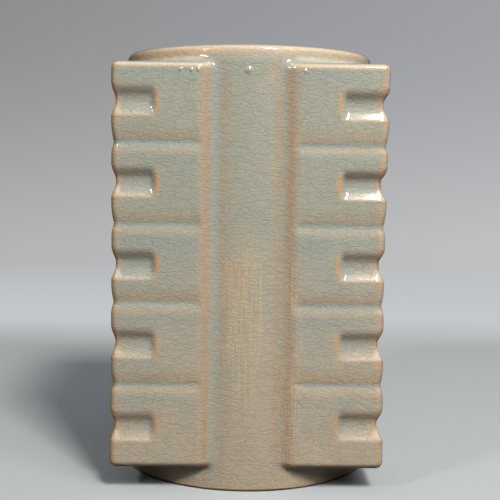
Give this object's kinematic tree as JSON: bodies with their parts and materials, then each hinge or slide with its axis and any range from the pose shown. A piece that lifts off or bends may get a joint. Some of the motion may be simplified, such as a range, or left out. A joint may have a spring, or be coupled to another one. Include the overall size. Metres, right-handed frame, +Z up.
{
  "type": "square vase",
  "caption": "Glazed stoneware vase, a round tube with squared and tiered corner prisms, a low round mouth rim and a round foot ring.",
  "frame": {"origin": "centre of the foot ring's underside, on the surface the vase stands on", "axes": "+Z up along the tube's axis; the four flat sides face +X, -X, +Y and -Y, and the pictured side faces -Y"},
  "size_m": [0.1238, 0.1238, 0.2],
  "materials": {
    "glaze": "thick crackled celadon glaze, grey green with warm tan edges, glossy",
    "inner_glaze": "thick crackled celadon glaze inside the vase, glossy",
    "foot_clay": "glazed side over a bare stoneware standing edge"
  },
  "bodies": {
    "root": {"foot_ring": "foot_clay", "floor_disc": "inner_glaze", "body_tube": "glaze", "mouth_rim": "glaze", "corner_prism_back_right": "glaze", "corner_prism_back_left": "glaze", "corner_prism_front_left": "glaze", "corner_prism_front_right": "glaze"}
  },
  "joints": []
}
